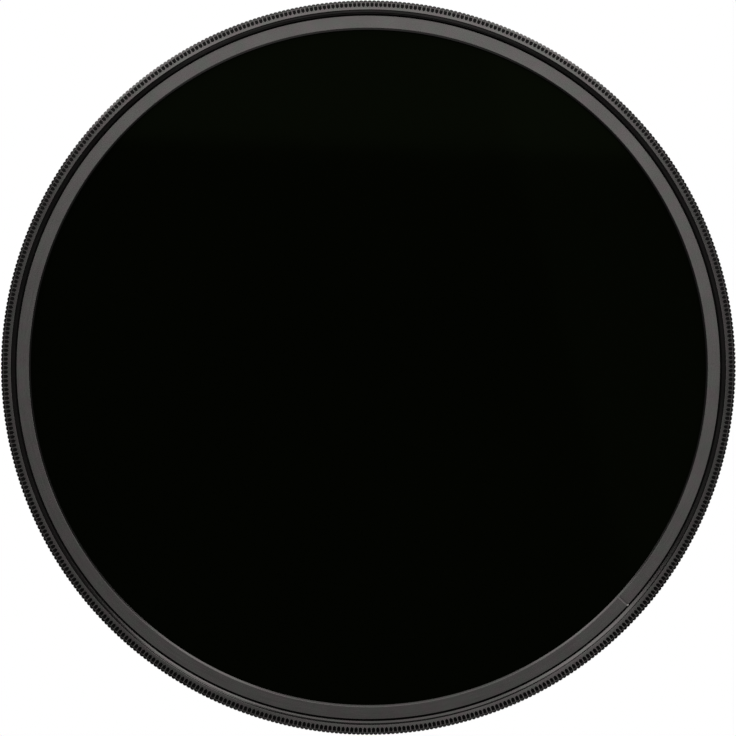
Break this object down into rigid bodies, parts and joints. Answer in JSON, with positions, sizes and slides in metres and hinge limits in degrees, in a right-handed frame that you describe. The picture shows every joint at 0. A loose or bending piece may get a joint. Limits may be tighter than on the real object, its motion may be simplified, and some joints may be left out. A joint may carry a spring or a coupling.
{
  "type": "polarizing neutral density filter",
  "caption": "Round dark glass filter in two thin black rings: a threaded mount ring behind, and a knurled front ring that turns on it with the glass.",
  "frame": {"origin": "on the optical axis, at the rear end of the male thread, which is the face the filter lies on", "axes": "+Z along the optical axis, out of the front of the filter; +Y is up in the picture"},
  "size_m": [0.0848, 0.0848, 0.0088],
  "materials": {
    "mount_metal": "black anodised, fine turned grain",
    "spring_steel": "bare spring steel",
    "front_metal": "black anodised, fine turned grain",
    "rear_glass": "polished, coated",
    "wave_foil": "smooth foil",
    "polarizer_foil": "smooth dark foil",
    "front_glass": "polished, near black, coated",
    "retainer_metal": "matt anodised"
  },
  "bodies": {
    "mount": {"mount_ring": "mount_metal", "snap_ring": "spring_steel"},
    "rotor": {"front_ring": "front_metal", "rear_glass": "rear_glass", "quarter_wave_foil": "wave_foil", "polarizer_foil": "polarizer_foil", "front_glass": "front_glass", "retaining_ring": "retainer_metal"}
  },
  "joints": [
    {"name": "polarizer_turn", "type": "hinge", "parent": "mount", "child": "rotor", "pos_m": [0, 0, 0.0047], "axis": [0, 0, 1], "continuous": true}
  ]
}
